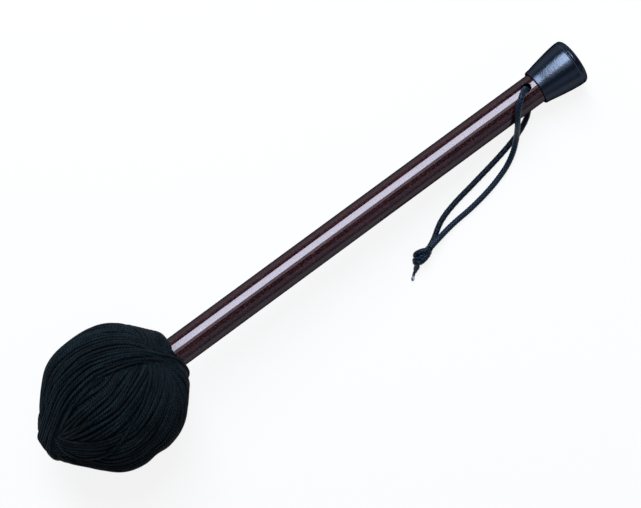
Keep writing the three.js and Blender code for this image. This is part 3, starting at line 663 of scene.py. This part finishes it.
def steelZincPlated():
    # Steel, stamped or turned and zinc plated: pale grey metal with a slightly cloudy shine
    material, tree, shader = startMaterial("steelZincPlated")
    place = addNode(tree, "ShaderNodeTexCoord").outputs["Object"]
    # clouds in the plating are about 1.4 mm wide
    cloud = addNode(tree, "ShaderNodeTexNoise", {"Vector": place, "Scale": 700.0, "Detail": 4.0})
    colour = addNode(tree, "ShaderNodeValToRGB", {"Fac": cloud.outputs["Fac"]},
                     stops=[(0.3, "#a3a6a8"), (0.7, "#c2c4c5")])
    rough = addNode(tree, "ShaderNodeMapRange",
                    {"Value": cloud.outputs["Fac"], "To Min": 0.28, "To Max": 0.42})
    setInputs(tree, shader, {"Base Color": colour.outputs["Color"], "Roughness": rough.outputs["Result"],
                             "Metallic": 1.0})
    return material


def padCore():
    # the felt sleeve: outside matted and slightly lumpy, inside close round the core
    low, high, radius, fillet, gap = (felt[k] for k in ("low", "high", "radius", "fillet", "coreGap"))
    mouth, steps = felt["mouthRadius"], felt["filletSteps"]
    outside = roundedBar(low, high, radius, fillet, steps)
    side = np.linspace(low + fillet, high - fillet, felt["sideRings"])[:-1]
    outside[steps - 1:steps] = [(s, radius) for s in side]
    inside = roundedBar(low - gap, high + gap, felt["coreRadius"] + gap, felt["coreFillet"] + gap)
    inside = [(s, r) for s, r in inside if low < s < high][::-1]
    profile = outside + [(high, mouth)] + inside + [(low, mouth)]
    around = 2 * math.pi * np.arange(felt["steps"])[None] / felt["steps"]
    along, rings = np.array(outside)[:, :1] / fillet, np.array(outside)[:, 1:]
    lumps = 1 + math.prod(np.sin(count * around + rise * along) for count, rise in felt["lumpWaves"])
    grown = np.clip((rings - felt["lumpsFrom"]) / (felt["lumpsFull"] - felt["lumpsFrom"]), 0, 1)
    ripple = np.zeros((len(profile), felt["steps"]))
    ripple[:len(outside)] = -felt["lumps"] * lumps * grown
    points, faces, uv = turnProfile(profile, felt["steps"], ripple)
    return makePiece("feltPadding", layDown(points), faces, woolFeltPressed(), uv)


feltPiece = padCore()
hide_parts("felt_padding")
maple, steel = mapleTurned(), steelZincPlated()
innerFinishes = dict(head_core=maple, retaining_washer=steel, retaining_screw=steel, cap_washer=steel)
for node, finish in innerFinishes.items():
    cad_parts[node].data.materials.clear()
    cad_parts[node].data.materials.append(finish)
print("inner pieces finished")

# Head: one strand of yarn wound from pole to pole in bands of lanes, each band over the ones before
yarn = dict(
    # outline of the wound head: millimetres from the neck, and radius
    outline=[(-97.0, 0), (-97.0, 8.6), (-93.8, 11.6), (-91.4, 14.7), (-89.1, 17.4), (-86.8, 20),
             (-84.4, 22.5), (-82.1, 25.1), (-79.8, 27.9), (-77.4, 30.4), (-75.1, 32.7), (-72.8, 35.1),
             (-70.4, 37.1), (-68.1, 38.7), (-65.7, 39.9), (-63.4, 40.9), (-61.1, 41.5), (-58.7, 42.1),
             (-54, 42.7), (-49.4, 43), (-44.7, 43), (-40, 42.7), (-35.3, 42.1), (-30.6, 40.9),
             (-28.2, 40.2), (-25.9, 39.1), (-23.5, 37.8), (-21.2, 36.3), (-18.8, 34.4), (-16.5, 32),
             (-14.1, 29.6), (-11.8, 26.9), (-9.4, 24.1), (-7.1, 21.3), (-4.7, 18.6), (-2.4, 16),
             (-1.2, 13.4), (-1, 10.6), (-1, 0)],
    outlineSteps=1441,
    rounding=41,  # steps over which the outline is smoothed
    middle=-46.7,
    thick=1.9,
    packed=0.8,  # how far a strand sinks under the one that crosses it, in thicknesses
    crush=0.55,  # and how much less under each further one
    nestle=0.55,  # how near, in thicknesses, one strand counts as crossing another
    dip=0.22,  # steepest slope at which a strand goes under
    dipRounds=12,
    dipSmoothing=3,
    easing=5,  # rounds in which the strand is pulled taut
    step=1.8,
    sides=8,
    shaftClear=10.75,  # how near the axis the middle of the strand may come beside the shaft
    turnClear=0.05,  # a loop turns back at least that much farther out
    leastCrown=0.6,  # and at the crown at least that far from the axis
    levelSlope=0.15,  # a flatter surface counts as level where a loop turns back
    # bands of turns, first to last: degrees round the shaft, and how far its first and last turn pass
    # from the axis at the neck and at the crown
    bands=[
        dict(heading=98.5, neck=(10.9, 22.4), crown=(-8, 8)),
        dict(heading=8.5, neck=(10.9, 22.4), crown=(3, 15)),
        dict(heading=76, neck=(10.9, 22.4), crown=(-8, 8)),
        dict(heading=31, neck=(10.9, 22.4), crown=(3, 16)),
        dict(heading=-14, neck=(10.9, 22.4), crown=(-2, 14)),
        dict(heading=-36.5, neck=(10.9, 20), crown=(-8, 8)),
        dict(heading=53.5, neck=(11.5, 25), crown=(2, 16)),
        dict(heading=-59, neck=(10.9, 14.5), crown=(-6, 9)),
    ],
    turns=9,  # in each band
    # how far chance moves a loop: millimetres at the neck and the crown, degrees round the shaft
    laneDrift=0.4,
    crownDrift=0.7,
    headingDrift=0.9,
    bellyDrift=1.5,
    seed=7,
    plies=3,
    plyPitch=5.4,  # one turn of a ply along the strand
)


def headCurve():
    # the outline as a distance from the middle of the head, over the angle from the shaft
    angles = np.radians(np.linspace(0, 180, yarn["outlineSteps"]))
    s, r = np.array(yarn["outline"], float).T
    seen = np.arctan2(r, s - yarn["middle"])
    order = np.argsort(seen)
    reach = np.interp(angles, seen[order], np.hypot(s - yarn["middle"], r)[order])
    width = yarn["rounding"]
    for _ in range(2):
        reach = np.convolve(np.pad(reach, width // 2, mode="edge"), np.ones(width) / width, "valid")
    return angles, reach


def swingFrom(angles, reach, nearNeck):
    # for a loop that turns back at a given radius: how far round the axis it has swung by each angle
    out, along = reach * np.sin(angles), reach * np.cos(angles)
    belly = int(np.argmax(out))
    pick = np.arange(0, belly + 1) if nearNeck else np.arange(len(angles) - 1, belly - 1, -1)
    out, along, seen = np.maximum.accumulate(out[pick]), along[pick], angles[pick]
    level = yarn["levelSlope"]

    def swing(turnRadius):
        first = max(int(np.searchsorted(out, turnRadius)), 1)
        part = (turnRadius - out[first - 1]) / max(out[first] - out[first - 1], 1e-9)
        startSeen = seen[first - 1] + (seen[first] - seen[first - 1]) * part
        startAlong = along[first - 1] + (along[first] - along[first - 1]) * part
        radii = np.concatenate([[turnRadius], out[first:]])
        run = np.hypot(np.diff(radii), np.diff(np.concatenate([[startAlong], along[first:]])))
        steep = np.abs(np.diff(radii)) / np.maximum(run, 1e-9)
        share = np.clip(turnRadius / radii, 0, 1)
        middle = (radii[:-1] + radii[1:]) / 2
        leaning = np.sqrt(np.maximum(1 - (turnRadius / middle) ** 2, 1e-6))
        straight = turnRadius * run / (middle ** 2 * leaning)
        grow = np.where(steep > level, np.diff(np.arccos(share)) / np.maximum(steep, level), straight)
        return np.concatenate([[startSeen], seen[first:]]), np.concatenate([[0], np.cumsum(grow)])

    return swing


def yarnRoute(angles, reach):
    # angle from the shaft and angle round it, along the whole strand, and the loop of each point
    rng = np.random.default_rng(yarn["seed"])
    neckSwing, crownSwing = swingFrom(angles, reach, True), swingFrom(angles, reach, False)
    turns, bands = yarn["turns"], yarn["bands"]
    spacing = 180 / (turns * len(bands))
    loops = []
    for index, band in enumerate(bands):
        order = range(turns) if index % 2 == 0 else range(turns - 1, -1, -1)
        for turn in order:
            share = turn / (turns - 1)
            drift = rng.uniform(-1, 1, 4)
            (neck, lastNeck), (crown, lastCrown) = band["neck"], band["crown"]
            neck = neck + (lastNeck - neck) * share + drift[0] * yarn["laneDrift"]
            crown = crown + (lastCrown - crown) * share + drift[1] * yarn["crownDrift"]
            at = math.radians(band["heading"] + drift[2] * yarn["headingDrift"])
            # the band fans out over its own share of the belly, a quarter turn on from the neck
            wide = math.radians(90 + ((turns - 1) / 2 - turn) * spacing + drift[3] * yarn["bellyDrift"])
            theta, swung = neckSwing(max(neck, yarn["shaftClear"] + yarn["turnClear"]))
            part = swung / swung[-1]
            swung = swung * (1 - part ** 2) + wide * part ** 3
            loops.append(dict(at=at, crown=crown, wide=wide, theta=theta, swung=swung))
    parts, marks = [], []
    for index, loop in enumerate(loops):
        if index:
            before = loops[index - 1]
            leave = before["at"] - before["wide"]
            enter = loop["at"] + loop["wide"]
            half = (enter - leave) % (2 * math.pi) / 2
            half = half if before["crown"] > 0 else half - math.pi
            theta, swung = crownSwing(max(abs(before["crown"]), yarn["leastCrown"]))
            part = swung / swung[-1]
            away = swung * (1 - part ** 2) + abs(half) * part ** 3
            away = np.stack([theta, math.copysign(1, half) * away], 1)
            over = np.concatenate([away[::-1] * [1, -1], away[1:]]) + [0, leave + half]
            parts.append(over)
            marks += [index] * len(over)
        swing = np.stack([loop["theta"], loop["swung"]], 1)
        turn = np.concatenate([swing[::-1], swing[1:] * [1, -1]]) + [0, loop["at"]]
        parts.append(turn)
        marks += [index] * len(turn)
    return np.concatenate(parts), np.array(marks)


def evenly(points, step, marks):
    # the same path in even steps, with the loop of each point and its length from the start
    run = np.concatenate([[0], np.cumsum(np.linalg.norm(np.diff(points, axis=0), axis=1))])
    keep = np.concatenate([[True], np.diff(run) > 1e-7])
    run, points, marks = run[keep], points[keep], marks[keep]
    at = np.linspace(0, run[-1], int(round(run[-1] / step)) + 1)
    even = np.stack([np.interp(at, run, points[:, k]) for k in range(3)], 1)
    return even, marks[np.searchsorted(run, at).clip(0, len(run) - 1)], at


def layYarn():
    angles, reach = headCurve()
    reach = reach - yarn["thick"] / 2
    route, marks = yarnRoute(angles, reach)
    r = np.interp(route[:, 0], angles, reach)
    out = r * np.sin(route[:, 0])
    points = np.stack([r * np.cos(route[:, 0]), out * np.sin(route[:, 1]), out * np.cos(route[:, 1])], 1)
    points, marks, _ = evenly(points, yarn["step"], marks)
    for _ in range(yarn["easing"]):
        # pulled taut on the surface, and never nearer than the shaft lets it
        points[1:-1] = points[1:-1] / 2 + (points[:-2] + points[2:]) / 4
        size = np.linalg.norm(points, axis=1)
        points *= (np.interp(np.arccos(points[:, 0] / size), angles, reach) / size)[:, None]
        out = np.hypot(points[:, 1], points[:, 2])
        near = (points[:, 0] > 0) & (out < yarn["shaftClear"])
        points[:, 1:] *= np.where(near, yarn["shaftClear"] / np.maximum(out, 1e-6), 1)[:, None]
    points, marks, lengths = evenly(points, yarn["step"], marks)
    size = np.linalg.norm(points, axis=1)
    ray = points / size[:, None]
    # how many later loops pass over each point: at its strand's points and half way between them
    fine = np.concatenate([points, (points[1:] + points[:-1]) / 2])
    fineMarks = np.concatenate([marks, marks[1:]])
    order = np.argsort(fineMarks, kind="stable")
    fine, fineMarks = fine[order], fineMarks[order]
    over = np.zeros(len(points))
    reachAcross = yarn["thick"] * yarn["nestle"]
    for loop in range(marks.max()):
        mine = np.flatnonzero(marks == loop)
        later = fineMarks > loop
        along = ray[mine] @ fine[later].T
        hit = ((fine[later] ** 2).sum(1)[None] - along ** 2 < reachAcross ** 2) & (along > 0)
        starts = np.concatenate([[0], np.flatnonzero(np.diff(fineMarks[later])) + 1])
        over[mine] = (np.add.reduceat(hit, starts, axis=1) > 0).sum(1)
    depth = yarn["thick"] * yarn["packed"] * (1 - yarn["crush"] ** over) / (1 - yarn["crush"])
    slope = yarn["dip"] * yarn["step"]
    for _ in range(yarn["dipRounds"]):
        # a strand dips before it goes under another, and comes up again behind it
        depth[1:] = np.maximum(depth[1:], depth[:-1] - slope)
        depth[:-1] = np.maximum(depth[:-1], depth[1:] - slope)
    for _ in range(yarn["dipSmoothing"]):
        depth[1:-1] = depth[1:-1] / 2 + (depth[:-2] + depth[2:]) / 4
    return ray * (size - depth)[:, None] + [yarn["middle"], 0, 0], ray, lengths


def acrylicYarnPlied():
    # Acrylic knitting yarn, three plies twisted together: soft and nearly matt, blue-black, with a pale
    # bloom where the loose fibres catch the light at the edges. The colour is painted darker in the grooves
    # between the plies and lighter on their middles: painted shade
    material, tree, shader = startMaterial("acrylicYarnPlied")
    lay = addNode(tree, "ShaderNodeUVMap", uv_map="lay").outputs["UV"]
    split = addNode(tree, "ShaderNodeSeparateXYZ", {"Vector": lay})
    turns = addNode(tree, "ShaderNodeMath", {0: split.outputs["Y"], 1: 1 / yarn["plyPitch"],
                                            2: split.outputs["X"]}, operation="MULTIPLY_ADD")
    wave = addNode(tree, "ShaderNodeMath", {0: turns.outputs["Value"], 1: math.pi * yarn["plies"]},
                   operation="MULTIPLY")
    sine = addNode(tree, "ShaderNodeMath", {0: wave.outputs["Value"]}, operation="SINE")
    ply = addNode(tree, "ShaderNodeMath", {0: sine.outputs["Value"]}, operation="ABSOLUTE")
    # a fibre is 0.02 mm and is drawn 0.13 mm wide, so that it still shows
    fibreMap = addNode(tree, "ShaderNodeMapping", {"Vector": lay, "Scale": (46, 0.9, 1)})
    fibres = addNode(tree, "ShaderNodeTexNoise",
                     {"Vector": fibreMap.outputs["Vector"], "Scale": 1.0, "Detail": 3.0})
    # loose fibres gather in tufts about 1.4 mm wide
    place = addNode(tree, "ShaderNodeTexCoord").outputs["Object"]
    patches = addNode(tree, "ShaderNodeTexNoise", {"Vector": place, "Scale": 700.0, "Detail": 4.0,
                                                  "Roughness": 0.65})
    mixed = addNode(tree, "ShaderNodeMath", {0: fibres.outputs["Fac"], 1: patches.outputs["Fac"]},
                    operation="MULTIPLY")
    # painted shade: the colour darkens where one ply meets the next, and lightens on the middle of each ply
    twisted = addNode(tree, "ShaderNodeMath", {0: ply.outputs["Value"], 1: 0.2, 2: mixed.outputs["Value"]},
                      operation="MULTIPLY_ADD")
    # the dye took unevenly: the shade drifts over 33 mm of yarn, so that one turn is paler than the next
    dyeMap = addNode(tree, "ShaderNodeMapping", {"Vector": lay, "Scale": (0, 0.03, 1)})
    dye = addNode(tree, "ShaderNodeTexNoise",
                  {"Vector": dyeMap.outputs["Vector"], "Scale": 1.0, "Detail": 2.0})
    shade = addNode(tree, "ShaderNodeMath", {0: dye.outputs["Fac"], 1: 0.5, 2: twisted.outputs["Value"]},
                    operation="MULTIPLY_ADD")
    colour = addNode(tree, "ShaderNodeValToRGB", {"Fac": shade.outputs["Value"]},
                     stops=[(0.4, "#000203"), (0.6, "#050b0f"), (0.8, "#19272d")])
    relief = addNode(tree, "ShaderNodeMath", {0: fibres.outputs["Fac"], 1: 0.5, 2: ply.outputs["Value"]},
                     operation="MULTIPLY_ADD")
    bump = addNode(tree, "ShaderNodeBump",
                   {"Height": relief.outputs["Value"], "Strength": 0.6, "Distance": 0.00025})
    # loose fibres scatter nearly all of the light, so hardly any is mirrored
    setInputs(tree, shader, {
        "Base Color": colour.outputs["Color"], "Normal": bump.outputs["Normal"], "Roughness": 0.68,
        "IOR": 1.5, "Specular IOR Level": 0.05, "Sheen Weight": 0.05, "Sheen Roughness": 0.35,
        "Sheen Tint": linear("#7fa6c4")})
    return material


plied = acrylicYarnPlied()


def windHead():
    # the strand is swept along its path with the same side always turned outwards
    strand, outward, lengths = layYarn()
    tangents = np.gradient(strand, axis=0)
    tangents /= np.linalg.norm(tangents, axis=1)[:, None]
    across = np.cross(tangents, outward)
    across /= np.linalg.norm(across, axis=1)[:, None]
    up = np.cross(tangents, across)
    angle = (2 * math.pi * np.arange(yarn["sides"]) / yarn["sides"])[None, :, None]
    rim = across[:, None] * np.cos(angle) + up[:, None] * np.sin(angle)
    rim = strand[:, None] + yarn["thick"] / 2 * rim
    faces, uv = tubeFaces(len(strand), yarn["sides"], lengths)
    return makePiece("yarnWinding", layDown(rim.reshape(-1, 3)), faces, plied, uv), lengths[-1]


winding, strandLength = windHead()
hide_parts("yarn_winding")
print("yarn wound:", round(strandLength * millimetre, 2), "m")

underYarn = dict(
    below=2.15,  # depth of the earlier layers under the outline
    ridges=118, ridgeHeight=0.5, swirl=0.9,  # strands round it, and how far they lean round the axis
    ridgesFrom=0.35, ridgesGrow=1.6,  # the ridges fade out towards the poles
    # degrees from the shaft at which it starts and ends, and how near the neck it comes
    crownAngle=176, neckAngle=17, neckLip=-4.2,
    hollowGap=0.3,
    steps=472, rings=64,
)


def layUnderYarn():
    # the earlier layers: a shell with a groove between one strand and the next, bored for the shaft
    # and hollow over the felt
    angles, reach = headCurve()
    at = np.radians(np.linspace(underYarn["crownAngle"], underYarn["neckAngle"], underYarn["rings"]))
    size = np.interp(at, angles, reach) - underYarn["below"]
    outside = np.stack([yarn["middle"] + size * np.cos(at), size * np.sin(at)], 1)
    outside = outside[outside[:, 0] < underYarn["neckLip"]]
    gap = underYarn["hollowGap"]
    low, high = felt["low"] - gap, felt["high"] + gap
    hollow = roundedBar(low, high, felt["radius"] + gap, felt["fillet"] + gap)[::-1]
    bore = [(outside[-1, 0], shaft["boreRadius"]), (high, shaft["boreRadius"])]
    profile = np.concatenate([[(outside[0, 0], 0)], outside, bore, hollow, [(low, 0)]])
    around = 2 * math.pi * np.arange(underYarn["steps"])[None] / underYarn["steps"]
    seen = at[:len(outside), None]
    wave = np.abs(np.cos(underYarn["ridges"] / 2 * (around + underYarn["swirl"] * np.cos(seen))))
    grown = np.clip(np.sin(seen) * underYarn["ridgesGrow"] - underYarn["ridgesFrom"], 0, 1)
    ripple = np.zeros((len(profile) - 2, underYarn["steps"]))
    ripple[:len(outside)] = -underYarn["ridgeHeight"] * (1 - wave) * grown
    return turnProfile(profile, underYarn["steps"], ripple)


underPoints, underFaces, underUv = layUnderYarn()
underPiece = makePiece("yarnUnderLayers", layDown(underPoints), underFaces, plied, underUv)
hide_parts("yarn_under_layers")
print("under layers made")

# Ground, light and world
studio = dict(
    floorSize=6.0, floorDrop=0.0001, floorColours=("#e6e8ea", "#e9ebec"),
    floorGlow=0.87,  # share of the paper's white that doesn't depend on the light falling on it
    # soft boxes: height in millimetres, and what they span from straight up, in degrees to +Y and +X
    softBox=dict(height=1650, toY=(13, 57), toX=(1.5, 28.5), radiance=15.5, colour="#eaf1ff"),
    spillBox=dict(height=1650, toY=(-6, 12.5), toX=(1.5, 22), radiance=1.6, colour="#f3f0ff"),
    fillCard=dict(height=700, toY=(-69, -37), toX=(-50, 50), radiance=0.52, colour="#e4defa"),
    # the room: pale up to the first height, and dark above the second, as sines of the angle
    wallTop=0.12, ceiling=0.3, horizon=0.6, zenith=0.06, skyColour="#eef4ff",
)


def paperWhite():
    # A sheet of white studio paper: to the camera it is white but for the mallet's faint shadow
    material, tree, shader = startMaterial("paperWhite")
    tree.nodes.remove(shader)
    place = addNode(tree, "ShaderNodeTexCoord")
    # the paper's tooth is about 1.1 mm wide
    grain = addNode(tree, "ShaderNodeTexNoise",
                    {"Vector": place.outputs["Object"], "Scale": 900.0, "Detail": 2.0})
    tint = addNode(tree, "ShaderNodeValToRGB", {"Fac": grain.outputs["Fac"]},
                   stops=list(zip((0.3, 0.7), studio["floorColours"])))
    paper = addNode(tree, "ShaderNodeBsdfDiffuse", {"Color": tint.outputs["Color"]}).outputs["BSDF"]
    glow = addNode(tree, "ShaderNodeEmission", {"Color": (1, 1, 1, 1), "Strength": 1.0})
    white = addNode(tree, "ShaderNodeMixShader",
                    {"Fac": studio["floorGlow"], 1: paper, 2: glow.outputs["Emission"]})
    # the camera, gloss and glass see the white; on the mallet falls only what plain paper throws back
    ray = addNode(tree, "ShaderNodeLightPath").outputs
    looking = ray["Is Camera Ray"]
    for kind in ("Is Glossy Ray", "Is Transmission Ray"):
        looking = addNode(tree, "ShaderNodeMath", {0: looking, 1: ray[kind]},
                          operation="MAXIMUM").outputs["Value"]
    mix = addNode(tree, "ShaderNodeMixShader", {"Fac": looking, 1: paper, 2: white.outputs["Shader"]})
    setInputs(tree, tree.nodes["Material Output"], {"Surface": mix.outputs["Shader"]})
    return material


def layPaper():
    half, low = studio["floorSize"] / 2, -studio["floorDrop"]
    corners = [(-half, -half, low), (half, -half, low), (half, half, low), (-half, half, low)]
    mesh = bpy.data.meshes.new("floor")
    mesh.from_pydata(corners, [], [(0, 1, 2, 3)])
    mesh.materials.append(paperWhite())
    floor = bpy.data.objects.new("floor", mesh)
    scene.collection.objects.link(floor)
    return floor


floor = layPaper()


def addSoftBox(name):
    box = studio[name]
    height = box["height"] * millimetre
    lowY, highY, lowX, highX = (math.tan(math.radians(a)) * height for a in (*box["toY"], *box["toX"]))
    light = bpy.data.lights.new(name, "AREA")
    light.shape = "RECTANGLE"
    light.size, light.size_y = highX - lowX, highY - lowY
    light.energy = box["radiance"] * math.pi * light.size * light.size_y
    light.color = linear(box["colour"])[:3]
    lamp = bpy.data.objects.new(name, light)
    lamp.location = ((lowX + highX) / 2, (lowY + highY) / 2, height)
    scene.collection.objects.link(lamp)


for boxName in ("softBox", "spillBox", "fillCard"):
    addSoftBox(boxName)


def paintRoom():
    # pale walls at the height of the object, and little light from straight above
    world = bpy.data.worlds.new("studio")
    scene.world = world
    world.use_nodes = True
    tree = world.node_tree
    tree.nodes.clear()
    direction = addNode(tree, "ShaderNodeTexCoord")
    rise = addNode(tree, "ShaderNodeSeparateXYZ", {"Vector": direction.outputs["Generated"]})
    strength = addNode(tree, "ShaderNodeMapRange", {
        "Value": rise.outputs["Z"], "From Min": studio["wallTop"], "From Max": studio["ceiling"],
        "To Min": studio["horizon"], "To Max": studio["zenith"]})
    sky = addNode(tree, "ShaderNodeBackground",
                  {"Color": linear(studio["skyColour"]), "Strength": strength.outputs["Result"]})
    addNode(tree, "ShaderNodeOutputWorld", {"Surface": sky.outputs["Background"]})


paintRoom()
print("studio lit")
